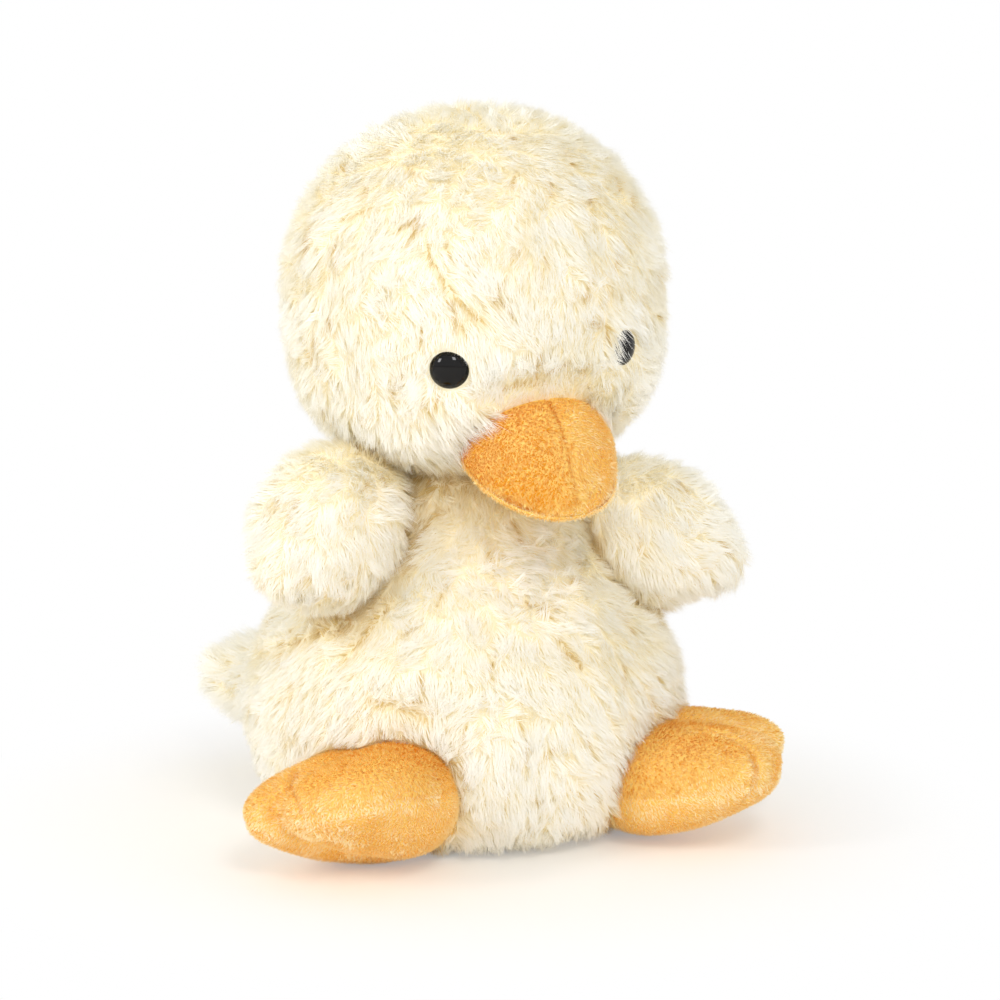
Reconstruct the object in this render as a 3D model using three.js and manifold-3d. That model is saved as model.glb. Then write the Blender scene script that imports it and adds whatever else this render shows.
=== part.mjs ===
// A small sitting plush duck, in millimetres. It faces -Y, its own left is +X, and it sits on Z = 0.
// Every form is a smooth closed surface. The sewn panels are the outer shell of a form, parted along the seams,
// and the filling is the same form drawn in by the thickness of the panel.
import * as THREE from 'three';
import { mergeVertices } from 'three/addons/utils/BufferGeometryUtils.js';
import Module from 'manifold-3d';

// Clearances and working allowances
const gap = 0.3;
const flatCut = 0.5;
const overrun = 6;
const reach = 120;

// Cloth: long pile on head, body, wings, thighs and tail, short pile on beak and feet
const furThickness = 5;
const velourThickness = 2;

// Head
const headWidth = 78;
const headDepth = 74;
const headHeight = 73;
const headCentreZ = 111.5;
const headForward = 4.5;
const headTilt = 4;
const jowlPower = 2.9;
const crownPower = 2.05;
const gussetWidth = 27;
const gussetLength = 80;
const gussetDrop = 9;

// Neck
const neckPivotZ = 78;
const neckPlugRadius = 13;
const neckStemRadius = 10;
const neckStemLength = 15;
const neckLineZ = 71.5;
const nodForward = 7;
const turnLimit = 15;

// Body
const bodyWidth = 91;
const bodyDepth = 88;
const bodyHeight = 84;
const sideSeamForward = 7;
const basePanelRadius = 32;
const basePanelHeight = 9;
// share of the half width, then share of the height
const bodyProfileShares = [
  [0, 0], [0.3, 0.001], [0.56, 0.007], [0.78, 0.032], [0.92, 0.105], [0.99, 0.22], [1, 0.34], [0.955, 0.45],
  [0.85, 0.56], [0.72, 0.67], [0.61, 0.77], [0.53, 0.86], [0.36, 0.96], [0, 1],
];

// Pouch of plastic pellets that weights the seat
const pouchWidth = 50;
const pouchDepth = 46;
const pouchHeight = 15;

// Eyes, and the washers that lock them from inside
const eyeDiameter = 8;
const eyeDomeHeight = 2.7;
const eyeRimThickness = 0.9;
const eyeSink = 2.2;
const eyeShankDiameter = 3;
const eyeShankLength = 8.6;
const eyeAzimuth = 30;
const eyeDrop = 12;
const washerDiameter = 10;
const washerThickness = 1.4;

// Beak: its mouth plane slopes down from the corners of the mouth to the tip
const beakWidth = 31.5;
const beakFrontLength = 20.5;
const beakBackLength = 12;
const beakUpperHeight = 15;
const beakLowerHeight = 4.5;
const beakPitch = 28;
const beakPower = 1.75;
const beakForward = 31;
const beakCentreZ = 80;

// Wings: the right one is held a little higher than the left one
const wingLength = 43;
const wingHeight = 34;
const wingThickness = 29;
const wingCentreX = 37;
const wingCentreZ = 58;
const wingSweep = 20;
const wingDroop = 19;
const wingRaise = 7;
const wingRaiseSweep = 14;
const wingTipShare = 0.42;
const wingPivotX = 27;
const wingPivotY = -9;
const wingPivotZ = 60;
const wingLower = 20;
const wingLift = 5;

// Feet
const legSplay = 54;
const legPivotX = 28;
const legPivotY = -23;
const legPivotZ = 12;
const footLower = 15;
const footLift = 20;
const footLength = 42;
const footWidth = 39;
const ankleThickness = 26;
const toeThickness = 17.5;
const toeLift = 8;
const leftFootRoll = 3;
const rightFootRoll = 15;
const footFullness = 0.75;
const footCentreX = 34.5;
const footCentreY = -32;
const toeValleyShare = 0.26;
const toeValleyWidth = 4;
// share of the half length towards the toes, then share of the half width towards the back: the valley between the
// lobes comes first, then the small rear lobe, the ankle and the large front lobe
const footOutlineShares = [
  [0.78, 0.4], [0.9, 0.54], [0.92, 0.7], [0.72, 0.9], [0.34, 0.98], [-0.1, 0.94], [-0.48, 0.8], [-0.84, 0.48], [-1, 0],
  [-0.84, -0.5], [-0.44, -0.84], [0.04, -0.98], [0.5, -0.97], [0.86, -0.76], [1, -0.4], [0.99, 0], [0.9, 0.26],
];

// Tail: sewn in low on the back, and bent to the right as the toy sits
const tailLength = 50;
const tailWidth = 24;
const tailThickness = 24;
const tailCentreX = -19;
const tailCentreY = 47;
const tailCentreZ = 19.5;
const tailRise = 2;
const tailBend = 46;
const tailPivotX = -7;
const tailPivotY = 41;
const tailPivotZ = 20;
const tailLimit = 15;
const tailTipShare = 0.1;

// How finely each form is faceted: steps around, then steps from pole to pole. Linings and fillings are coarser.
const headSteps = [26, 16];
const headFillSteps = [16, 10];
const bodySteps = [26, 16];
const bodyFillSteps = [16, 10];
const wingSteps = [14, 10];
const wingFillSteps = [10, 6];
const footSteps = [20, 8];
const footFillSteps = [20, 8];
const tailSteps = [10, 6];
const beakSteps = [16, 10];
const beakFillSteps = [10, 6];
const pouchSteps = [14, 6];
const eyeSteps = 12;
const roundSteps = 22;
const ballSteps = [18, 8];

const wasm = await Module();
wasm.setup();

const degrees = THREE.MathUtils.degToRad;
const group = new THREE.Group();

const fur = new THREE.MeshStandardMaterial({ color: 0xf3ead0, roughness: 0.95, metalness: 0 });
const velour = new THREE.MeshStandardMaterial({ color: 0xf2a94a, roughness: 0.9, metalness: 0 });
const velourLight = new THREE.MeshStandardMaterial({ color: 0xf7c57c, roughness: 0.9, metalness: 0 });
const filling = new THREE.MeshStandardMaterial({ color: 0xf7f6f2, roughness: 1, metalness: 0 });
const pouchCloth = new THREE.MeshStandardMaterial({ color: 0xe6e0d2, roughness: 0.95, metalness: 0 });
const glossBlack = new THREE.MeshStandardMaterial({ color: 0x0c0a0a, roughness: 0.12, metalness: 0 });
const clearPlastic = new THREE.MeshStandardMaterial({ color: 0xe9e9e4, roughness: 0.4, metalness: 0 });

// A geometry with only positions, its shared corners merged and its collapsed triangles left out
function welded(geometry) {
  const bare = geometry.clone();
  bare.deleteAttribute('normal');
  bare.deleteAttribute('uv');
  const merged = mergeVertices(bare);
  const index = merged.getIndex().array;
  const kept = [];
  for (let i = 0; i < index.length; i += 3) {
    const [a, b, c] = [index[i], index[i + 1], index[i + 2]];
    if (a !== b && b !== c && c !== a) kept.push(a, b, c);
  }
  merged.setIndex(kept);
  merged.computeVertexNormals();
  return merged;
}

function solid(geometry) {
  const merged = welded(geometry);
  return new wasm.Manifold(new wasm.Mesh({
    numProp: 3,
    vertProperties: new Float32Array(merged.getAttribute('position').array),
    triVerts: new Uint32Array(merged.getIndex().array),
  }));
}

function add(name, form, material) {
  const mesh = form.getMesh();
  const geometry = new THREE.BufferGeometry();
  geometry.setAttribute('position', new THREE.BufferAttribute(mesh.vertProperties, 3));
  geometry.setIndex(new THREE.BufferAttribute(mesh.triVerts, 1));
  geometry.computeVertexNormals();
  const piece = new THREE.Mesh(geometry, material);
  piece.name = name;
  group.add(piece);
}

// The same surface moved along its normals, outwards for a positive distance
function swollen(geometry, distance) {
  const moved = geometry.clone();
  const position = moved.getAttribute('position');
  const normal = geometry.getAttribute('normal');
  for (let i = 0; i < position.count; i += 1) {
    position.setXYZ(
      i,
      position.getX(i) + normal.getX(i) * distance,
      position.getY(i) + normal.getY(i) * distance,
      position.getZ(i) + normal.getZ(i) * distance,
    );
  }
  moved.computeVertexNormals();
  return moved;
}

// A closed form: place turns a direction on the unit ball, whose poles are on Z, into a point
function blob([around, up], place) {
  const geometry = welded(new THREE.SphereGeometry(1, around, up).rotateX(degrees(90)));
  const position = geometry.getAttribute('position');
  const direction = new THREE.Vector3();
  for (let i = 0; i < position.count; i += 1) {
    direction.fromBufferAttribute(position, i);
    const point = place(direction);
    position.setXYZ(i, point.x, point.y, point.z);
  }
  geometry.computeVertexNormals();
  return geometry;
}

function box(x0, x1, y0, y1, z0, z1) {
  const geometry = new THREE.BoxGeometry(x1 - x0, y1 - y0, z1 - z0);
  geometry.translate((x0 + x1) / 2, (y0 + y1) / 2, (z0 + z1) / 2);
  return solid(geometry);
}

function upright(radius, z0, z1) {
  const geometry = new THREE.CylinderGeometry(radius, radius, z1 - z0, roundSteps);
  geometry.rotateX(degrees(90)).translate(0, 0, (z0 + z1) / 2);
  return solid(geometry);
}

function ball(radius, centre) {
  const geometry = new THREE.SphereGeometry(radius, ...ballSteps);
  geometry.rotateX(degrees(90)).translate(centre.x, centre.y, centre.z);
  return solid(geometry);
}

function turnedAbout(geometry, pivot, axis, angle) {
  return geometry.clone()
    .translate(-pivot.x, -pivot.y, -pivot.z)
    .applyMatrix4(new THREE.Matrix4().makeRotationAxis(axis, degrees(angle)))
    .translate(pivot.x, pivot.y, pivot.z);
}

// What a limb must stay out of: the larger form as the limb sees it over its whole swing
function swept(geometry, pivot, axis, low, high) {
  const clear = swollen(geometry, gap);
  let cutter = solid(clear);
  for (const angle of [low, low / 2, high / 2, high]) {
    cutter = cutter.add(solid(turnedAbout(clear, pivot, axis, -angle)));
  }
  return cutter;
}

function mirrored(geometry) {
  const flipped = geometry.clone().scale(-1, 1, 1);
  const index = flipped.getIndex().array;
  const turned = [];
  for (let i = 0; i < index.length; i += 3) turned.push(index[i], index[i + 2], index[i + 1]);
  flipped.setIndex(turned);
  flipped.computeVertexNormals();
  return flipped;
}

// The head is sewn on with a small tilt, its left side up
function tilted(geometry) {
  return geometry.translate(0, 0, -headCentreZ).rotateY(degrees(-headTilt)).translate(0, 0, headCentreZ);
}

const aboveFloor = box(-reach, reach, -reach, reach, 0, reach + reach);
const rightHalf = box(-reach, -gap / 2, -reach, reach, -reach, reach + reach);
const leftHalf = box(gap / 2, reach, -reach, reach, -reach, reach + reach);

// Head: round crown, full jowls
const headForm = (steps) => tilted(blob(steps, (d) => {
  const power = d.z < 0 ? jowlPower : crownPower;
  const flat = Math.hypot(d.x, d.y);
  const size = (flat ** power + Math.abs(d.z) ** power) ** (-1 / power);
  return new THREE.Vector3(
    (d.x * size * headWidth) / 2,
    (d.y * size * headDepth) / 2 - headForward,
    (d.z * size * headHeight) / 2 + headCentreZ,
  );
}));

// Body: a pear pressed flat where it sits
const bodyCurve = new THREE.CatmullRomCurve3(bodyProfileShares.map(([across, up]) => (
  new THREE.Vector3((across * bodyWidth) / 2, up * bodyHeight - flatCut, 0)
)), false, 'centripetal');
function bodyForm([around, up]) {
  const profile = bodyCurve.getPoints(up).map((p) => new THREE.Vector2(Math.max(p.x, 0), p.y));
  profile[0].x = 0;
  profile[profile.length - 1].x = 0;
  return welded(new THREE.LatheGeometry(profile, around).rotateX(degrees(90)).scale(1, bodyDepth / bodyWidth, 1));
}

// Neck: a plug of filling through the neck opening, a ball that the head tips over and a stem that turns
const neckPivot = new THREE.Vector3(0, 0, neckPivotZ);
const stemTopZ = neckPivotZ - Math.sqrt(neckPlugRadius ** 2 - neckStemRadius ** 2);
function neckPlug(extra) {
  const stem = upright(neckStemRadius + extra, stemTopZ - neckStemLength - extra, neckPivotZ);
  return ball(neckPlugRadius + extra, neckPivot).add(stem);
}
const neckRoom = neckPlug(gap);
const headNeckRoom = ball(neckPlugRadius + gap * 2, neckPivot);
const belowNeck = box(-reach, reach, -reach, reach, -reach, neckLineZ);

// Eyes stand square to the surface of the head
const eyeProfile = [];
for (let i = 0; i <= eyeSteps / 3; i += 1) {
  const angle = degrees((90 * i) / (eyeSteps / 3));
  eyeProfile.push([Math.sin(angle) * (eyeDiameter / 2), Math.cos(angle) * eyeDomeHeight]);
}
eyeProfile.push([eyeDiameter / 2, -eyeRimThickness]);
eyeProfile.push([eyeShankDiameter / 2, -eyeRimThickness]);
eyeProfile.push([eyeShankDiameter / 2, -eyeShankLength]);
eyeProfile.push([0, -eyeShankLength]);

// A turned piece whose axis is the eye's, seen from outside to inside
function atEye(profile, side) {
  const points = profile.map(([r, h]) => new THREE.Vector2(r, h)).reverse();
  const geometry = new THREE.LatheGeometry(points, eyeSteps);
  const tilt = Math.atan2(eyeDrop / headHeight, 1 / 2);
  const outward = new THREE.Vector3(
    side * Math.sin(degrees(eyeAzimuth)) * Math.cos(tilt),
    -Math.cos(degrees(eyeAzimuth)) * Math.cos(tilt),
    -Math.sin(tilt) / 2,
  ).normalize();
  const flat = Math.sqrt(1 - (eyeDrop / (headHeight / 2)) ** jowlPower) ** (2 / jowlPower);
  const seat = new THREE.Vector3(
    side * Math.sin(degrees(eyeAzimuth)) * (headWidth / 2) * flat,
    -Math.cos(degrees(eyeAzimuth)) * (headDepth / 2) * flat - headForward,
    headCentreZ - eyeDrop,
  ).addScaledVector(outward, -eyeSink);
  geometry.applyQuaternion(new THREE.Quaternion().setFromUnitVectors(new THREE.Vector3(0, 1, 0), outward));
  geometry.translate(seat.x, seat.y, seat.z);
  return solid(tilted(geometry));
}

const washerTop = -(furThickness - eyeSink + eyeRimThickness);
const washerProfile = (extra) => [
  [washerDiameter / 2 + extra, washerTop + extra],
  [washerDiameter / 2 + extra, washerTop - washerThickness - extra],
  [eyeShankDiameter / 2 + gap - extra * 2, washerTop - washerThickness - extra],
  [eyeShankDiameter / 2 + gap - extra * 2, washerTop + extra],
  [washerDiameter / 2 + extra, washerTop + extra],
];
const eyeRoomProfile = [
  [0, overrun],
  [eyeDiameter / 2 + gap, overrun],
  [eyeDiameter / 2 + gap, -eyeRimThickness - gap],
  [eyeShankDiameter / 2 + gap, -eyeRimThickness - gap],
  [eyeShankDiameter / 2 + gap, -eyeShankLength - gap],
  [0, -eyeShankLength - gap],
];
const washerRoomProfile = [
  [0, washerTop + gap],
  [washerDiameter / 2 + gap, washerTop + gap],
  [washerDiameter / 2 + gap, washerTop - washerThickness - gap],
  [0, washerTop - washerThickness - gap],
];

// Beak: a broad padded bill, domed above the mouth plane and shallow below it
const beakForm = (steps) => welded(tilted(blob(steps, (d) => {
  const along = Math.abs(d.y);
  const size = (Math.abs(d.x) ** 2 + along ** 2 + Math.abs(d.z) ** 2) ** (-1 / 2);
  const front = d.y < 0;
  const sharp = front && d.z > 0 ? (along ** beakPower + (1 - along * along) ** (beakPower / 2)) ** (-1 / beakPower) : size;
  return new THREE.Vector3(
    (d.x * sharp * beakWidth) / 2,
    d.y * sharp * (front ? beakFrontLength : beakBackLength),
    d.z * sharp * (d.z > 0 ? beakUpperHeight : beakLowerHeight),
  );
}).rotateX(degrees(beakPitch)).translate(0, -beakForward, beakCentreZ)));
const beakRim = (lift) => solid(tilted(new THREE.BoxGeometry(reach, reach, reach)
  .translate(0, 0, -reach / 2)
  .rotateX(degrees(beakPitch))
  .translate(0, -beakForward, beakCentreZ + lift)));

// Wings: stub mittens that taper to a round tip
const wingBall = (steps) => welded(blob(steps, (d) => {
  const slim = 1 - wingTipShare * Math.max(d.x, 0) ** 2;
  return new THREE.Vector3(
    (d.x * wingLength) / 2,
    ((d.y * wingThickness) / 2) * slim,
    ((d.z * wingHeight) / 2) * slim,
  );
}).rotateY(degrees(wingDroop)));

// Feet: a large round front lobe and a small rear one with a valley between them, thick at the ankle
const footCurve = new THREE.CatmullRomCurve3(footOutlineShares.map(([along, across]) => (
  new THREE.Vector3((along * footLength) / 2, (across * footWidth) / 2, 0)
)), true, 'centripetal');
const toeValley = footCurve.getPoint(0);
const footForward = (along) => THREE.MathUtils.smoothstep((along * 2) / footLength, -0.6, 1);
function footMiddle(along) {
  return THREE.MathUtils.lerp(ankleThickness / 2, toeLift + toeThickness / 2, footForward(along)) - flatCut;
}
const footPlaced = (geometry, side) => {
  const placed = geometry.translate(0, 0, -ankleThickness / 2).rotateX(degrees(side > 0 ? leftFootRoll : -rightFootRoll))
    .translate(0, 0, ankleThickness / 2).rotateZ(degrees(legSplay - 90)).translate(footCentreX, footCentreY, 0);
  return side > 0 ? placed : mirrored(placed);
};
const footForm = (steps, side, inset) => welded(footPlaced(blob(steps, (d) => {
  const turn = (Math.atan2(d.y, d.x) / (Math.PI * 2) + 1) % 1;
  const rim = Math.hypot(d.x, d.y) ** 0.8;
  const outline = footCurve.getPoint(turn).multiplyScalar(rim);
  const along = outline.x * (1 - (inset * 2) / footLength);
  const across = outline.y * (1 - (inset * 2) / footWidth);
  const aside = across - (along * toeValley.y) / toeValley.x;
  const valley = 1 - toeValleyShare * footForward(along) * Math.exp(-((aside / toeValleyWidth) ** 2));
  const thickness = THREE.MathUtils.lerp(ankleThickness, toeThickness, footForward(along)) - inset * 2;
  const full = d.z > 0 ? d.z ** footFullness : d.z;
  return new THREE.Vector3(along, across, footMiddle(along) + ((full * thickness) / 2) * valley);
}), side));

// What lies under the seam round a foot
function underFootSeam(lift, side) {
  const outline = [new THREE.Vector2(footLength, -reach), new THREE.Vector2(-footLength, -reach)];
  for (let i = 0; i <= roundSteps; i += 1) {
    const along = footLength * ((2 * i) / roundSteps - 1);
    outline.push(new THREE.Vector2(along, footMiddle(along) + lift));
  }
  const under = new THREE.ExtrudeGeometry(new THREE.Shape(outline), { depth: reach, bevelEnabled: false });
  return solid(footPlaced(welded(under.translate(0, 0, -reach / 2).rotateX(degrees(90))), side));
}

// Tail
const tailPivot = new THREE.Vector3(tailPivotX, tailPivotY, tailPivotZ);
const tailAxis = new THREE.Vector3(0, 0, 1);
function tailForm(inset) {
  const form = blob(tailSteps, (d) => {
    const slim = 1 - tailTipShare * Math.max(d.y, 0);
    return new THREE.Vector3(
      d.x * (tailWidth / 2 - inset) * slim,
      d.y * (tailLength / 2 - inset),
      d.z * (tailThickness / 2 - inset) * slim,
    );
  });
  return form.rotateX(degrees(tailRise)).rotateZ(degrees(tailBend)).translate(tailCentreX, tailCentreY, tailCentreZ);
}

// Head pieces
const gussetShape = new THREE.Shape();
gussetShape.absellipse(0, 0, gussetWidth / 2, gussetLength / 2, 0, Math.PI * 2);
const gussetWideShape = new THREE.Shape();
gussetWideShape.absellipse(0, 0, gussetWidth / 2 + gap, gussetLength / 2 + gap, 0, Math.PI * 2);
function gussetCutter(shape, drop) {
  const geometry = new THREE.ExtrudeGeometry(shape, {
    depth: headHeight, bevelEnabled: false, curveSegments: ballSteps[1],
  });
  geometry.translate(0, -headForward, headCentreZ - drop);
  return solid(tilted(geometry));
}
const eyeRooms = atEye(eyeRoomProfile, -1).add(atEye(eyeRoomProfile, 1));
const washerRooms = atEye(washerRoomProfile, -1).add(atEye(washerRoomProfile, 1));
const beakRoom = solid(swollen(beakForm(beakSteps), gap));
const headShell = solid(headForm(headSteps))
  .subtract(solid(swollen(headForm(headFillSteps), -furThickness)))
  .subtract(eyeRooms)
  .subtract(washerRooms)
  .subtract(headNeckRoom)
  .subtract(beakRoom);
const headSides = headShell.subtract(gussetCutter(gussetWideShape, gussetDrop + gap));
add('head_gusset_panel', headShell.intersect(gussetCutter(gussetShape, gussetDrop)), fur);
const headHalf = (side) => solid(tilted(new THREE.BoxGeometry(reach, reach * 2, reach * 4)
  .translate((side * (reach + gap)) / 2, 0, 0)));
add('head_right_panel', headSides.intersect(headHalf(-1)), fur);
add('head_left_panel', headSides.intersect(headHalf(1)), fur);
add('head_stuffing', solid(swollen(headForm(headFillSteps), -(furThickness + gap)))
  .subtract(eyeRooms)
  .subtract(washerRooms)
  .subtract(headNeckRoom)
  .subtract(beakRoom), filling);
add('right_eye', atEye([[0, eyeDomeHeight], ...eyeProfile.slice(1)], -1), glossBlack);
add('left_eye', atEye([[0, eyeDomeHeight], ...eyeProfile.slice(1)], 1), glossBlack);
add('right_eye_washer', atEye(washerProfile(0), -1), clearPlastic);
add('left_eye_washer', atEye(washerProfile(0), 1), clearPlastic);

const beakShell = solid(beakForm(beakSteps)).subtract(solid(swollen(beakForm(beakFillSteps), -velourThickness)));
const beakUpper = beakShell.subtract(beakRim(gap));
add('beak_upper_right_panel', beakUpper.intersect(headHalf(-1)), velour);
add('beak_upper_left_panel', beakUpper.intersect(headHalf(1)), velour);
add('beak_lower_panel', beakShell.intersect(beakRim(0)), velourLight);
add('beak_stuffing', solid(swollen(beakForm(beakFillSteps), -(velourThickness + gap))), filling);

// Body pieces
const bodyShell = solid(bodyForm(bodySteps))
  .subtract(solid(swollen(bodyForm(bodyFillSteps), -furThickness)))
  .intersect(belowNeck)
  .subtract(neckRoom)
  .intersect(aboveFloor);
const baseDisc = upright(basePanelRadius, -overrun, basePanelHeight);
const baseRoom = upright(basePanelRadius + gap, -overrun, basePanelHeight + gap);
const bodySides = bodyShell.subtract(baseRoom);
const inFront = box(-reach, reach, -reach, -sideSeamForward, -reach, reach + reach);
const behind = box(-reach, reach, -sideSeamForward + gap, reach, -reach, reach + reach);
add('body_belly_panel', bodySides.intersect(inFront), fur);
add('body_right_back_panel', bodySides.intersect(behind).intersect(rightHalf), fur);
add('body_left_back_panel', bodySides.intersect(behind).intersect(leftHalf), fur);
add('body_base_panel', bodyShell.intersect(baseDisc), fur);
function pouchForm(extra) {
  return blob(pouchSteps, (d) => new THREE.Vector3(
    d.x * (pouchWidth / 2 + extra),
    d.y * (pouchDepth / 2 + extra),
    d.z * (pouchHeight / 2 + extra) + pouchHeight / 2 + furThickness + gap - flatCut,
  ));
}
add('body_stuffing', solid(swollen(bodyForm(bodyFillSteps), -(furThickness + gap)))
  .intersect(belowNeck)
  .subtract(neckRoom)
  .subtract(solid(pouchForm(gap)))
  .subtract(upright(basePanelRadius / 2, -overrun, furThickness + gap + flatCut)), filling);
add('pellet_pouch', solid(pouchForm(0)), pouchCloth);
add('neck_stuffing', neckPlug(0), filling);

// The head as a raised wing sees it while the head turns and nods
function headAway(pivot, upward) {
  const clear = swollen(headForm(headSteps), gap);
  let cutter = solid(clear);
  for (const turn of [-turnLimit, 0, turnLimit]) {
    const nodding = turnedAbout(clear, neckPivot, new THREE.Vector3(1, 0, 0), nodForward);
    const facing = turnedAbout(nodding, neckPivot, new THREE.Vector3(0, 0, 1), turn);
    for (const flap of [wingLift, 0, -wingLower / 2, -wingLower]) {
      cutter = cutter.add(solid(turnedAbout(facing, pivot, upward, -flap)));
    }
  }
  return cutter;
}

// Wings, left and right
for (const side of [1, -1]) {
  const name = side > 0 ? 'left' : 'right';
  const lift = side > 0 ? 0 : wingRaise;
  const sweep = side > 0 ? wingSweep : wingSweep + wingRaiseSweep;
  const placed = (geometry) => {
    const moved = geometry.clone().translate(wingCentreX - wingPivotX, 0, 0).rotateZ(degrees(-sweep))
      .translate(wingPivotX, wingPivotY, wingCentreZ + lift);
    return side > 0 ? moved : mirrored(moved);
  };
  const pivot = new THREE.Vector3(side * wingPivotX, wingPivotY, wingPivotZ + lift);
  const upward = new THREE.Vector3(0, -side, 0);
  const away = swept(bodyForm(bodySteps), pivot, upward, -wingLower, wingLift).add(headAway(pivot, upward));
  const lining = solid(placed(swollen(wingBall(wingFillSteps), -furThickness)));
  const skin = solid(placed(wingBall(wingSteps))).subtract(lining).subtract(away);
  const half = (facing) => solid(placed(welded(new THREE.BoxGeometry(reach, reach, reach)
    .translate(0, facing * (reach + gap) / 2, 0))));
  add(`${name}_wing_front_panel`, skin.intersect(half(-1)), fur);
  add(`${name}_wing_back_panel`, skin.intersect(half(1)), fur);
  const core = solid(placed(swollen(wingBall(wingFillSteps), -(furThickness + gap))));
  add(`${name}_wing_stuffing`, core.subtract(away), filling);
}

// Feet: the left one is rolled with its rear lobe up, the right one with its rear lobe down
for (const side of [1, -1]) {
  const name = side > 0 ? 'left' : 'right';
  const pivot = new THREE.Vector3(side * legPivotX, legPivotY, legPivotZ);
  const axis = new THREE.Vector3(-Math.cos(degrees(legSplay)), -side * Math.sin(degrees(legSplay)), 0);
  const away = swept(bodyForm(bodySteps), pivot, axis, -footLower, footLift);
  const lining = solid(footForm(footFillSteps, side, velourThickness));
  const shell = solid(footForm(footSteps, side, 0)).subtract(lining).subtract(away).intersect(aboveFloor);
  add(`${name}_foot_upper_panel`, shell.subtract(underFootSeam(gap, side)), velour);
  add(`${name}_foot_sole_panel`, shell.intersect(underFootSeam(0, side)), velourLight);
  const core = solid(footForm(footFillSteps, side, velourThickness + gap));
  add(`${name}_foot_stuffing`, core.subtract(away), filling);
}

// Tail
const tailAway = swept(bodyForm(bodySteps), tailPivot, tailAxis, -tailLimit, tailLimit);
const tailShell = solid(tailForm(0)).subtract(solid(tailForm(furThickness))).subtract(tailAway);
const tailHalf = (facing) => solid(new THREE.BoxGeometry(reach, reach, reach)
  .translate(0, 0, facing * (reach + gap) / 2).rotateX(degrees(tailRise)).rotateZ(degrees(tailBend))
  .translate(tailCentreX, tailCentreY, tailCentreZ));
add('tail_upper_panel', tailShell.intersect(tailHalf(1)), fur);
add('tail_lower_panel', tailShell.intersect(tailHalf(-1)), fur);
add('tail_stuffing', solid(tailForm(furThickness + gap)).subtract(tailAway), filling);

export default group;
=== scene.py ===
"""Looks of the plush duck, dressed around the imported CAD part.

Metres, duck facing -Y, its left +X, floor at Z = 0. Every padded form is a closed backing skin, moulded to
the CAD form, with its pile standing on it as real strands.
"""
import math

import bmesh
import bpy
import numpy as np
from mathutils import Matrix, Vector, noise
from mathutils.bvhtree import BVHTree
from mathutils.kdtree import KDTree


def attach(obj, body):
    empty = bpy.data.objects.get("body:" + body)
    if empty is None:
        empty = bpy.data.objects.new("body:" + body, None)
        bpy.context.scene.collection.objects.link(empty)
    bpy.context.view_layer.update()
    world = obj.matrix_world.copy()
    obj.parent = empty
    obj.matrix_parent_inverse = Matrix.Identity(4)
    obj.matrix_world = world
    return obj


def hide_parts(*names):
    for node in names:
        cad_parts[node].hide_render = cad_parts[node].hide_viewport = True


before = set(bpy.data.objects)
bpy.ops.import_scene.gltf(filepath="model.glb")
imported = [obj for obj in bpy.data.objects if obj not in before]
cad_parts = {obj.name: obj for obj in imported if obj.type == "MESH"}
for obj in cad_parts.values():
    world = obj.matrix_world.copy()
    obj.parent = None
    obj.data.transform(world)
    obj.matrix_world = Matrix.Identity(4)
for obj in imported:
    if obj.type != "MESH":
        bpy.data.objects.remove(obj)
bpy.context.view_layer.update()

MM = 0.001
WAY_OUT = 1e-9
NOISE_SEED = 7  # any but 0, with which the waves would be others in each run
noise.seed_set(NOISE_SEED)

# Small helpers


def linear(hex_colour):
    """An sRGB hex colour as linear RGBA."""
    parts = [int(hex_colour[i:i + 2], 16) / 255 for i in (1, 3, 5)]
    return tuple(p / 12.92 if p <= 0.04045 else ((p + 0.055) / 1.055) ** 2.4 for p in parts) + (1.0,)


def add_node(tree, kind, inputs=None, stops=None, **settings):
    """Adds a node with its settings and colour stops. Its inputs are values, or sockets to link from."""
    made = tree.nodes.new(kind)
    for name, value in settings.items():
        setattr(made, name, value)
    if stops:
        ramp = made.color_ramp
        while len(ramp.elements) < len(stops):
            ramp.elements.new(1.0)
        for element, (position, colour) in zip(ramp.elements, stops):
            element.position = position
            element.color = linear(colour)
    for key, value in (inputs or {}).items():
        if isinstance(value, bpy.types.NodeSocket):
            tree.links.new(value, made.inputs[key])
        else:
            made.inputs[key].default_value = value
    return made


def new_material(name):
    material = bpy.data.materials.new(name)
    material.use_nodes = True
    material.node_tree.nodes.clear()
    return material, material.node_tree


def unit(vectors):
    return vectors / np.maximum(np.linalg.norm(vectors, axis=-1, keepdims=True), WAY_OUT)


def turned(points, degrees, axis):
    return points @ np.array(Matrix.Rotation(math.radians(degrees), 3, axis)).T


def smoothstep(x, low, high):
    t = np.clip((x - low) / (high - low), 0, 1)
    return t * t * (3 - 2 * t)


def placed(name, data):
    """A new object of the scene, at the origin."""
    made = bpy.data.objects.new(name, data)
    bpy.context.scene.collection.objects.link(made)
    return made


def mesh_from(bm, name):
    mesh = bpy.data.meshes.new(name)
    bm.to_mesh(mesh)
    bm.free()
    return mesh


# Camera, lights, floor

TARGET = Vector((0, 0, 0.072))
VIEW_AZIMUTH = -22.5
VIEW_ELEVATION = 9
VIEW_DISTANCE = 0.574


def seen_from(azimuth, elevation, distance):
    a, e = math.radians(azimuth), math.radians(elevation)
    return TARGET + distance * Vector((math.sin(a) * math.cos(e), -math.cos(a) * math.cos(e), math.sin(e)))


def aimed(thing, place):
    thing.location = place
    thing.rotation_euler = (place - TARGET).to_track_quat("Z", "Y").to_euler()


camera_data = bpy.data.cameras.new("camera")
camera_data.lens = 100
camera_data.sensor_width = 36
camera_data.shift_x = 0.035
camera_data.shift_y = -0.025
camera = placed("camera", camera_data)
aimed(camera, seen_from(VIEW_AZIMUTH, VIEW_ELEVATION, VIEW_DISTANCE))
bpy.context.scene.camera = camera

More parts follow.
